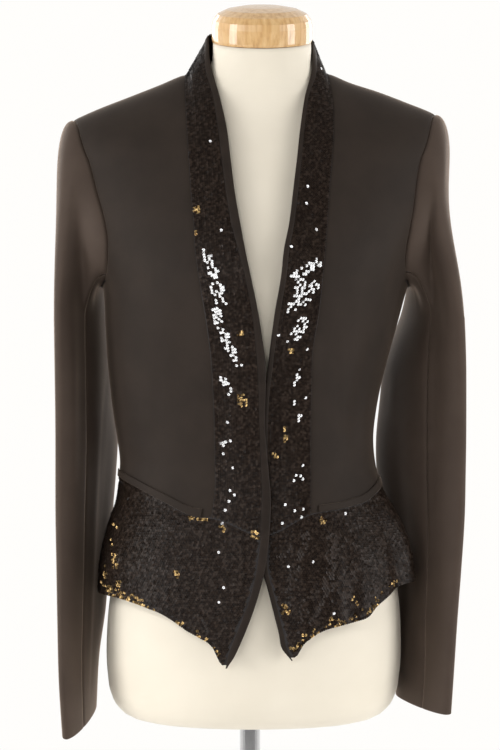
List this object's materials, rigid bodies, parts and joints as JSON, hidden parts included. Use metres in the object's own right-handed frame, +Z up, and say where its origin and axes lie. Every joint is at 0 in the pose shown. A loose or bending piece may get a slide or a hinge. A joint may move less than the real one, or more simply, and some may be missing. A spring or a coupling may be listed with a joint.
{
  "type": "blazer on a limbless dress form",
  "caption": "Fitted cropped evening blazer with sequinned bands, collar and pointed skirt, open over a limbless cream dress form on a pole.",
  "frame": {"origin": "middle of the underside of the round foot, on the floor, on the axis of the pole", "axes": "+Z up, +X towards the wearer's left, -Y the way the front faces"},
  "size_m": [0.4203, 0.32, 1.2895],
  "materials": {
    "crepe": "matt black-brown crepe",
    "sequin": "black net covered in small glossy black sequins",
    "jersey": "matt cream jersey cover",
    "maple": "satin varnished pale wood",
    "chrome": "polished"
  },
  "bodies": {
    "root": {"front_right": "crepe", "front_left": "crepe", "waist_strip_right": "crepe", "waist_strip_left": "crepe", "back_right": "crepe", "back_left": "crepe", "band_right": "sequin", "band_left": "sequin", "edge_strip_right": "crepe", "edge_strip_left": "crepe", "sleeve_top_right": "crepe", "sleeve_under_right": "crepe", "sleeve_top_left": "crepe", "sleeve_under_left": "crepe", "skirt_right": "sequin", "skirt_left": "sequin", "skirt_back": "sequin", "collar": "sequin", "form_torso": "jersey", "form_cap": "maple", "form_pole": "chrome", "form_base": "chrome"}
  },
  "joints": []
}
